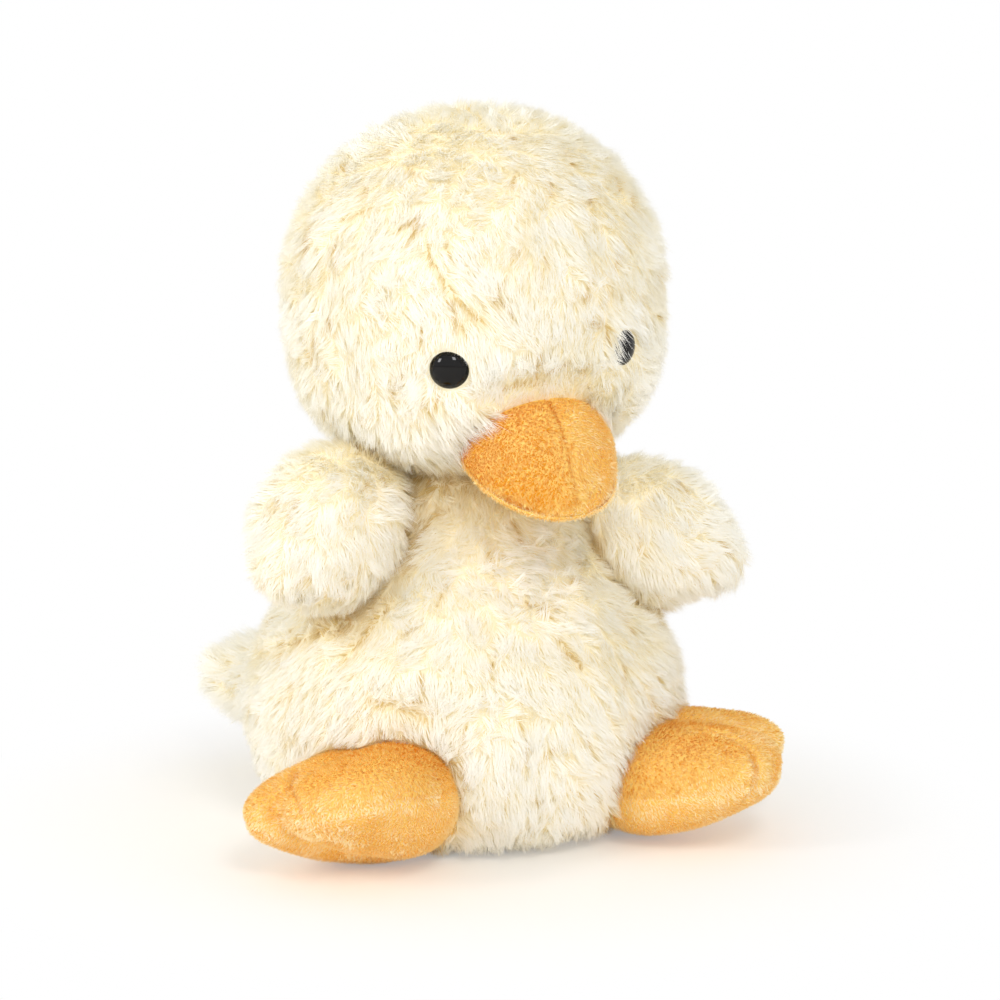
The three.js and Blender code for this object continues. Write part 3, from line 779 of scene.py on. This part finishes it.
cream_pile = strand_material(
    "cream_polyester_long_pile",
    ((0.0, "#E4CE92"), (0.22, "#FBF5E0"), (0.5, "#FFFEF9"), (1.0, "#FFFFFE")), "#FFFCF2", 0.8, 0.2)
cream_backing = backing_material("cream_warp_knit_backing", "#F4E8C4", "#FCF5DF", 1.0)
orange_nap = strand_material(
    "orange_polyester_velour_nap",
    ((0.0, "#EAA428"), (0.5, "#F9DF92"), (1.0, "#FFEFC2")), "#FDF2D2", 0.8, 0.08)
# The same orange nap, paler: painted light for the beak's underside and the soles
lit_orange_nap = strand_material(
    "orange_polyester_velour_nap_painted_light",
    ((0.0, "#F8D680"), (0.5, "#FCEBB2"), (1.0, "#FFF3CE")), "#FEF5DC", 0.8, 0.08)
orange_backing = backing_material("orange_warp_knit_backing", "#F3C460", "#F9D67C", 0.6)

# Moulded and polished: sharp windows in it, with the faintest unevenness
eye_plastic, tree = new_material("black_polished_abs")
place = add_node(tree, "ShaderNodeTexCoord")
haze = add_node(tree, "ShaderNodeTexNoise", {
    "Vector": place.outputs["Object"], "Scale": EYE_HAZE, "Detail": 3.0})
gloss = add_node(tree, "ShaderNodeMapRange", {"Value": haze.outputs["Fac"], "To Min": 0.03, "To Max": 0.08})
surface = add_node(tree, "ShaderNodeBsdfPrincipled", {
    "Base Color": linear("#040303"), "Roughness": gloss.outputs["Result"], "Specular IOR Level": 0.3})
add_node(tree, "ShaderNodeOutputMaterial", {"Surface": surface.outputs[0]})

# Moulded and left undyed: milky, with a soft gloss
washer_plastic, tree = new_material("natural_polythene")
place = add_node(tree, "ShaderNodeTexCoord")
cloud = add_node(tree, "ShaderNodeTexNoise", {"Vector": place.outputs["Object"], "Scale": WASHER_CLOUD})
colour = add_node(tree, "ShaderNodeValToRGB", {0: cloud.outputs["Fac"]},
                  stops=((0.3, "#DDDDD6"), (0.7, "#F0F0EA")))
surface = add_node(tree, "ShaderNodeBsdfPrincipled", {
    "Base Color": colour.outputs["Color"], "Roughness": 0.4, "IOR": 1.51})
add_node(tree, "ShaderNodeOutputMaterial", {"Surface": surface.outputs[0]})

# Styles of pile, in millimetres

# density is strands to a square mm, lift and lie are how far a tip stands off its root outwards and along
LONG_PILE = {"density": 7.6, "width": 0.182, "lift": 1.9, "lie": 3.0, "lift_spread": 0.2,
             "length_spread": 0.12, "tuft": 4.5, "lock": 1.5, "tuft_turn": 0.6, "lock_turn": 0.4,
             "strand_turn": 0.25, "tuft_pull": 0.38, "lock_pull": 0.35, "fray": 0.12, "wave": 12,
             "wave_turn": 0.7, "part": 1.6, "flecks": 0.02, "fleck": 6.0, "fleck_width": 0.4,
             "tone_spread": 0.07, "speckle": 0.06, "stain": 14, "stain_depth": 0.07, "seed": 3}
NAP = {"density": 12.0, "width": 0.21, "lift": 0.55, "lie": 0.5, "lift_spread": 0.12,
       "length_spread": 0.1, "tuft": 2.6, "lock": 0.52, "tuft_turn": 0.5, "lock_turn": 0.3,
       "strand_turn": 0.2, "tuft_pull": 0.0, "lock_pull": 0.8, "fray": 0.02, "wave": 5,
       "wave_turn": 0.7, "part": 1.0, "flecks": 0.0, "tone_spread": 0.1, "speckle": 0.05,
       "stain": 3.0, "stain_depth": 0.06, "seed": 5}
RIPPLE = 0.8  # mm from row to row of the nap
RIPPLE_WAVE = 7  # mm, of the rows' wavering, and how far it shifts them
RIPPLE_SHIFT = 2.2


def rippled(local, points, seed):
    """Wavering rows of the nap, -1 to 1, along the first of the piece's own axes."""
    warp = drift(points * MM, RIPPLE_WAVE * MM, seed)[:, 0] * RIPPLE_SHIFT
    return np.sin((local[:, 1] + 0.5 * local[:, 2] + warp) * 2 * math.pi / RIPPLE)


# The seams and partings


def seen_at(spots, name):
    """Points in mm on a skin where the photograph shows these spots, given in its 1000 pixel frame."""
    turn = camera.rotation_euler.to_matrix()
    start = camera.location
    found = []
    for x, y in spots:
        wide = ((x - 500) / 1000 + camera_data.shift_x) * camera_data.sensor_width
        high = ((500 - y) / 1000 + camera_data.shift_y) * camera_data.sensor_width
        hit = whole[name].ray_cast(start, turn @ Vector((wide, high, -camera_data.lens)).normalized())[0]
        if hit is not None:
            found.append(hit / MM)
    return smooth_line(found, 8 * len(found))


def gusset_seam(side):
    """The seam between the crown strip and a head side, from the brow over the crown to the nape."""
    turn = np.radians(np.linspace(-66, 66, 90))
    plan = np.column_stack([side * GUSSET_HALF[0] * np.cos(turn), GUSSET_HALF[1] * np.sin(turn)])
    plan = plan / HEAD_HALF[:2]
    flat = np.hypot(plan[:, 0], plan[:, 1])
    high = np.maximum(1 - flat ** CROWN_POWER, 0) ** (1 / CROWN_POWER)
    return tilted(np.column_stack([plan, high]) * HEAD_HALF + HEAD_CENTRE)


def body_side_seam(side):
    wide = profile[profile[:, 0] > -1.2 * SIDE_SEAM_Y]
    return np.column_stack([side * np.sqrt(wide[:, 0] ** 2 - (SIDE_SEAM_Y / BODY_DEPTH_SHARE) ** 2),
                            np.full(len(wide), SIDE_SEAM_Y), wide[:, 1]])


body_back_seam = np.column_stack([np.zeros(400), profile[:, 0] * BODY_DEPTH_SHARE, profile[:, 1]])


def section_line(form, first, second):
    """The line where a form is cut through the plane of two of its directions."""
    turn = np.radians(np.linspace(0, 360, 150))[:, None]
    return form(unit(np.array([first], float) * np.cos(turn) + np.array([second], float) * np.sin(turn)))


# Head

EYE_DIRECTION = 30
EYE_DROP = 12
EYE_SINK = {-1: 2.2, 1: 2.6}  # the far eye is drawn deeper into its side of the face
EYE_RADIUS = 4
EYE_DOME = 2.7
EYE_RIM = 0.9
EYE_VEIL = 2.0  # fibres rooted further in than this stay over the far eye
EYE_CLEAR = 12  # mm off the eye's plane within which a fibre can hide it

# The share of the fibres that cross an eye which stay, and how far round it they are cleared
EYES_SEEN_THROUGH = {-1: (0.0, 0.0), 1: (0.06, -0.4)}


def tilted_way(ways):
    return turned(ways, -HEAD_TILT, "Y")


def eye_seat(side):
    """Where the eye's base plane meets its axis, and the way out."""
    tilt = math.atan2(EYE_DROP / (2 * HEAD_HALF[2]), 0.5)
    turn = math.radians(EYE_DIRECTION)
    out = unit(np.array([side * math.sin(turn) * math.cos(tilt), -math.cos(turn) * math.cos(tilt),
                         -math.sin(tilt) / 2]))
    flat = (1 - (EYE_DROP / HEAD_HALF[2]) ** JOWL_POWER) ** (1 / JOWL_POWER)
    seat = np.array([side * math.sin(turn) * HEAD_HALF[0] * flat, -math.cos(turn) * HEAD_HALF[1] * flat,
                     -EYE_DROP]) + HEAD_CENTRE - out * EYE_SINK[side]
    return tilted(seat), tilted_way(out)


def past_eyes(lines, rng):
    """Which strands would cross an eye, but for the few that lie over its edge."""
    crosses = np.zeros(len(lines), bool)
    share = np.linspace(0, 1, 9)[None, :, None]
    for side, (stay, margin) in EYES_SEEN_THROUGH.items():
        seat, out = eye_seat(side)
        offset = lines[:, :1] * (1 - share) + lines[:, 1:] * share - seat
        height = offset @ out
        distance = np.linalg.norm(offset - height[..., None] * out, axis=-1)
        over = ((distance < EYE_RADIUS + margin) & (np.abs(height) < EYE_CLEAR)).any(1)
        inner = side * offset[:, 0, 0] < -EYE_VEIL
        crosses |= over & (rng.random(len(lines)) > np.where(inner & (stay > 0), 1, stay))
    return crosses


def top_of_beak(local):
    """1 over the beak's top and 0 beside it, for points in the beak's own axes."""
    return smoothstep(local[:, 2] - 0.5 * np.abs(local[:, 0]), 3, 9)


def near_beak(points):
    """1 on the beak's base, falling to 0 some way up the face."""
    local = on_beak(points)
    aside = np.hypot(local[:, 0] / BEAK_HALF_WIDTH, (local[:, 2] - 4) / 12)
    return 1 - smoothstep(aside, 1.0, 1.75)


def beside_far_eye(points):
    """1 beside the far eye on the face's side, falling to 0 round it."""
    offset = points - eye_seat(1)[0]
    return np.exp(-((np.linalg.norm(offset, axis=1) / 6.5) ** 2)) * smoothstep(-offset[:, 0], -1, 1)


def head_comb(points):
    """Down from the back of the crown, a little forward. Round the beak's base it turns out over the sides
    of the beak, and stands up off its top. Beside the far eye it leans over the eye."""
    close = near_beak(points)[:, None]
    over_eye = beside_far_eye(points)[:, None] * [[1.1, 0.4, 0.3]]
    local = on_beak(points)
    top = top_of_beak(local)
    over_beak = np.column_stack([-np.sign(local[:, 0]) * 0.6 * (1 - top), top * 0.5 - 1, top * 1.1])
    over_beak = tilted_way(turned(over_beak, BEAK_PITCH, "X"))
    return np.array([[0, -0.3, -1.0]]) * (1 - close) + over_beak * close * 1.2 + over_eye


def over_the_beak(points):
    """How much longer the pile is that hangs over the beak's sides, and over the far eye."""
    top = top_of_beak(on_beak(points))
    return near_beak(points) * (0.7 - 0.7 * top) + 0.25 * beside_far_eye(points)


def beak_seams(points):
    """The seam over the middle of the beak, and the one round its mouth."""
    local = on_beak(points)
    middle = 0.45 * np.exp(-((local[:, 0] / 0.45) ** 2)) * (local[:, 2] > 0)
    rim = 0.5 * np.exp(-((local[:, 2] / 0.5) ** 2))
    return np.maximum(middle, rim)


def body_slack(points):
    """The left flank is filled less tight under its wing."""
    return 2.6 * np.exp(-(((points[:, 2] - 54) / 11) ** 2)) * smoothstep(points[:, 0], 5, 30)


def wing_slack(side):
    """The left wing hangs a little slack on its underside."""
    def depth(points):
        local = on_wing(points, side)
        return (1.2 + 0.8 * side) * smoothstep(-local[:, 2] - 0.4 * local[:, 0], -4, 8)
    return depth


head_skin = moulded("head_backing", head_form, 6, 1.1, waves=0.35)
beak_skin = moulded("beak_backing", beak_form, 6, 0.55, seams=beak_seams, waves=0.15)
body_skin = moulded("body_backing", body_form, 6, 1.1, seams=body_slack, waves=0.45)

# Lines on the feet where the photograph shows them: the fold between the two lobes, with its depth in mm,
# the lower edge of the deep band of painted shade, and the pale ridge of painted highlight
FOLDS = {"left_foot_backing": ([(690, 728), (727, 733), (750, 747), (758, 764), (759, 784), (752, 802)],
                               1.5),
         "right_foot_backing": ([(297, 766), (292, 780), (291, 795), (296, 810)], 1.1)}
SHADE_BANDS = {"left_foot_backing": [(752, 742), (712, 768), (668, 797), (618, 822)],
         "right_foot_backing": [(285, 777), (315, 768), (350, 763), (386, 766), (420, 771), (450, 783)]}
HIGHLIGHT_LINES = {"left_foot_backing": [(682, 716), (727, 722), (764, 738), (779, 755)],
          "right_foot_backing": [(300, 820), (350, 838), (400, 836), (435, 815)]}

# The same lines on each foot's skin, in mm, found while it is moulded
folds = {}
shade_bands = {}
highlight_lines = {}


def foot_seams(side, name):
    """The seam round the toes, and the fold between the two lobes where the photograph shows it."""
    def depth(points):
        local = on_foot(points, side)
        off_rim = local[:, 2] - foot_middle(local[:, 0])
        rim = 0.25 * np.exp(-((off_rim / 0.6) ** 2)) * smoothstep(local[:, 0], -14, 2)
        spots, deep = FOLDS[name]
        folds[name] = seen_at(spots, name)
        shade_bands[name] = seen_at(SHADE_BANDS[name], name)
        highlight_lines[name] = seen_at(HIGHLIGHT_LINES[name], name)
        return rim + deep * creased(points, [(folds[name], 0.9, 1.0)])[0]
    return depth


def above(points, line):
    """From 0 below a line on a skin to 1 well above it."""
    return smoothstep(off_line(points, line)[:, 2], -0.6, 2.4)


feet = {}
wings = {}
for side, name in ((1, "left"), (-1, "right")):
    feet[name] = moulded(f"{name}_foot_backing", foot_form(side), 6, 0.55, clear_of=("body_backing",),
                         seams=foot_seams(side, f"{name}_foot_backing"), waves=0.2)
    wings[name] = moulded(f"{name}_wing_backing", wing_form(side), 5, 1.1, clear_of=("body_backing",),
                          seams=wing_slack(side), waves=0.4)
tail_skin = moulded("tail_backing", tail_form, 5, 1.1, clear_of=("body_backing",), waves=0.3)

# The gusset's seams and the partings that the photograph shows: line, width in mm and depth
head_creases = [(gusset_seam(1), 1.4, 0.08), (gusset_seam(-1), 1.4, 0.08),
                (seen_at([(426, 246), (436, 268), (450, 290), (479, 319)], "head_backing"), 1.7, 0.95),
                (seen_at([(300, 396), (322, 404), (345, 408)], "head_backing"), 1.2, 0.4),
                (seen_at([(520, 232), (530, 262), (528, 292)], "head_backing"), 1.2, 0.45),
                (seen_at([(590, 250), (606, 282), (612, 310)], "head_backing"), 1.2, 0.4),
                (seen_at([(500, 392), (520, 386), (545, 384)], "head_backing"), 1.2, 0.7)]
# The tone deepens near the body and the wings, and along the creases: painted shade
head_pile = grown(head_skin, LONG_PILE, head_comb, shy_of=(("beak_backing", 0.2),),
                  around=(("beak_backing", 0.9),), creases=head_creases,
                  without=past_eyes, longer=over_the_beak,
                  painted_shade_near=(("body_backing", 8), ("left_wing_backing", 4), ("right_wing_backing", 4)))


def head_panel(points):
    offset = tilted(points, 1) - HEAD_CENTRE
    gusset = ((offset[:, :2] / GUSSET_HALF) ** 2).sum(1) < 1
    return np.where(gusset & (offset[:, 2] > -GUSSET_DROP), 0, np.where(offset[:, 0] < 0, 1, 2))


head_skin.data.materials.append(cream_backing)
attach(head_skin, "head")
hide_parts("head_stuffing")
pile(("head_gusset", "head_right", "head_left"), head_pile, head_panel, cream_pile, "head")

beak_skin.data.materials.append(orange_backing)
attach(beak_skin, "head")
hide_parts("beak_stuffing")


def beak_panel(points):
    local = on_beak(points)
    return np.where(local[:, 2] < 0, 2, np.where(local[:, 0] < 0, 0, 1))


def beak_comb(points):
    """From the base to the tip, and outwards from the seam over the middle."""
    local = on_beak(points)
    way = np.column_stack([local[:, 0] * 0.04, np.full(len(local), -1.0), -np.abs(local[:, 0]) * 0.02])
    return turned(way, BEAK_PITCH, "X")


def beak_painted_light_and_rows(points):
    """Deeper on the right half, whose nap stands off the light, and paler on the left and along the rim:
    painted light and shade. Darker along the middle seam, with the nap's rows.
    """
    local = on_beak(points)
    halves = 0.42 * np.tanh(local[:, 0] / 4.5) - 0.22
    rim = 0.4 * np.exp(-((local[:, 2] / 1.6) ** 2))
    seam = 0.15 * np.exp(-((local[:, 0] / 0.4) ** 2)) * (local[:, 2] > 1)
    return halves + rim - seam + 0.16 * rippled(local, points, 3)


beak_nap = grown(beak_skin, NAP, beak_comb, shy_of=(("head_backing", 0.2),), painted_light_and_rows=beak_painted_light_and_rows)
# The beak's underside takes the paler nap: painted light
pile(("beak_upper_right", "beak_upper_left", "beak_lower"), beak_nap, beak_panel,
     (orange_nap, orange_nap, lit_orange_nap), "head")

for side, name in ((-1, "right"), (1, "left")):
    seat, out = eye_seat(side)
    bm = bmesh.new()
    bmesh.ops.create_uvsphere(bm, u_segments=48, v_segments=32, radius=1)
    for vert in bm.verts:
        x, y, z = vert.co
        vert.co = (x * EYE_RADIUS, y * EYE_RADIUS, z * (EYE_DOME if z > 0 else EYE_RIM))
    turn = Vector((0, 0, 1)).rotation_difference(Vector(out)).to_matrix().to_4x4()
    seated = Matrix.Scale(MM, 4) @ Matrix.Translation(Vector(seat)) @ turn
    bmesh.ops.transform(bm, matrix=seated, verts=bm.verts)
    mesh = mesh_from(bm, f"{name}_eye_bead")
    mesh.shade_smooth()
    mesh.materials.append(eye_plastic)
    eye = placed(f"{name}_eye_bead", mesh)
    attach(eye, "head")
    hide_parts(f"{name}_eye")
    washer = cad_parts[f"{name}_eye_washer"]
    washer.data.materials.clear()
    washer.data.materials.append(washer_plastic)

# Body, wings, feet, tail


def body_panel(points):
    base = (np.hypot(points[:, 0], points[:, 1]) < BASE_RADIUS) & (points[:, 2] < BASE_HEIGHT)
    side = np.where(points[:, 1] < SIDE_SEAM_Y, 0, np.where(points[:, 0] < 0, 1, 2))
    return np.where(base, 3, side)


def body_comb(points):
    """Down, and a little outwards from the belly."""
    return np.column_stack([points[:, 0] * 0.004, np.full(len(points), -0.1), np.full(len(points), -1.0)])


body_creases = [(body_side_seam(1), 1.6, 0.3), (body_side_seam(-1), 1.6, 0.3), (body_back_seam, 1.6, 0.3),
                (seen_at([(262, 650), (300, 640), (345, 625)], "body_backing"), 1.8, 0.8),
                (seen_at([(392, 603), (370, 630), (345, 658)], "body_backing"), 1.5, 0.75),
                (seen_at([(370, 700), (400, 708), (430, 720)], "body_backing"), 1.4, 0.6),
                (seen_at([(556, 637), (568, 652), (582, 668)], "body_backing"), 1.3, 0.85),
                (seen_at([(470, 600), (490, 612), (500, 630)], "body_backing"), 1.2, 0.45),
                (seen_at([(600, 700), (612, 722), (618, 745)], "body_backing"), 1.2, 0.45)]
# The tone deepens under the head, beside the wings and feet, and along the creases: painted shade
body_pile = grown(body_skin, {**LONG_PILE, "seed": 11}, body_comb,
                  shy_of=(("head_backing", -5), ("left_foot_backing", -8), ("right_foot_backing", -8)),
                  under=("left_foot_backing", "right_foot_backing"),
                  around=(("left_foot_backing", 0.9), ("right_foot_backing", 0.9)), creases=body_creases,
                  painted_shade_near=(("head_backing", 20), ("left_wing_backing", 5), ("right_wing_backing", 7),
                           ("left_foot_backing", 3), ("right_foot_backing", 3)))
body_skin.data.materials.append(cream_backing)
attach(body_skin, "torso")
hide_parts("body_stuffing", "pellet_pouch", "neck_stuffing")
pile(("body_belly", "body_right_back", "body_left_back", "body_base"), body_pile, body_panel, cream_pile,
     "torso")

for side, name in ((1, "left"), (-1, "right")):
    skin = wings[name]
    skin.data.materials.append(cream_backing)
    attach(skin, f"{name}_wing")
    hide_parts(f"{name}_wing_stuffing")

    def wing_comb(points):
        """Down and out towards the tip."""
        way = turned(np.array([[0.55, 0, -1.0]]), -WING_SWEEP[side], "Z") * [side, 1, 1]
        return np.repeat(way, len(points), axis=0)

    def wing_panel(points):
        return np.where(on_wing(points, side)[:, 1] < 0, 0, 1)

    # The tone deepens along the wing's crease and near the head and body: painted shade
    growth = grown(skin, {**LONG_PILE, "seed": 20 + side}, wing_comb,
                   shy_of=(("body_backing", 0.2), ("head_backing", 0.2)),
                   creases=[(section_line(wing_form(side), (side, 0, 0), (0, 0, 1)), 1.4, 0.3)],
                   painted_shade_near=(("head_backing", 6), ("body_backing", 4)))
    pile((f"{name}_wing_front", f"{name}_wing_back"), growth, wing_panel, cream_pile, f"{name}_wing")

    skin = feet[name]
    skin.data.materials.append(orange_backing)
    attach(skin, f"{name}_foot")
    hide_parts(f"{name}_foot_stuffing")

    def foot_comb(points):
        """From the ankle out to the toes, fanning, and down over the rim."""
        local = on_foot(points, side)
        way = np.column_stack([np.full(len(local), 1.0), local[:, 1] * 0.05, np.full(len(local), -0.5)])
        return turned(way, LEG_TURN, "Z") * [side, 1, 1]

    def foot_painted_light_and_rows(points):
        """Deeper above the band line and in the fold, paler beside the fold, along the ridge and under the
        toes:
        painted light and shade, with the nap's rows.
        """
        local = on_foot(points, side)
        under = local[:, 2] - foot_middle(local[:, 0])
        fold, shade_band = folds[f"{name}_foot_backing"], shade_bands[f"{name}_foot_backing"]
        near_fold = creased(points, [(fold, 2.4, 1.0)])[0] - 1.8 * creased(points, [(fold, 0.9, 1.0)])[0]
        band_shade = creased(points, [(shade_band, 1.2, 1.0)])[0]
        highlight = creased(points, [(highlight_lines[f"{name}_foot_backing"], 3.0, 1.0)])[0]
        return (0.22 * smoothstep(-under, -4, 2) - 0.28 * above(points, shade_band) * (1 - highlight) - 0.12 * band_shade
                + 0.36 * highlight + 0.26 * near_fold + 0.2 * rippled(local, points, 4))

    def foot_panel(points):
        local = on_foot(points, side)
        return np.where(local[:, 2] > foot_middle(local[:, 0]), 0, 1)

    growth = grown(skin, {**NAP, "seed": 30 + side}, foot_comb, shy_of=(("body_backing", 0.2),),
                   painted_light_and_rows=foot_painted_light_and_rows)
    # The soles take the paler nap: painted light
    pile((f"{name}_foot_upper", f"{name}_foot_sole"), growth, foot_panel, (orange_nap, lit_orange_nap),
         f"{name}_foot")

tail_skin.data.materials.append(cream_backing)
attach(tail_skin, "tail")
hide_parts("tail_stuffing")


def tail_comb(points):
    """Along the tail to its tip."""
    return np.repeat(turned(np.array([[0, 1.0, 0]]), TAIL_BEND, "Z"), len(points), axis=0)


def tail_panel(points):
    return np.where(on_tail(points)[:, 2] > 0, 0, 1)


# The tone deepens near the body: painted shade
tail_pile = grown(tail_skin, {**LONG_PILE, "lie": 4.2, "lift": 2.4, "fray": 0.3, "seed": 41}, tail_comb,
                  shy_of=(("body_backing", 0.2),), painted_shade_near=(("body_backing", 5),))
pile(("tail_upper", "tail_lower"), tail_pile, tail_panel, cream_pile, "tail")

# Colour view and light bounces

bpy.context.scene.view_settings.view_transform = "Standard"
bpy.context.scene.cycles.diffuse_bounces = 12  # light passes many times between pale fibres
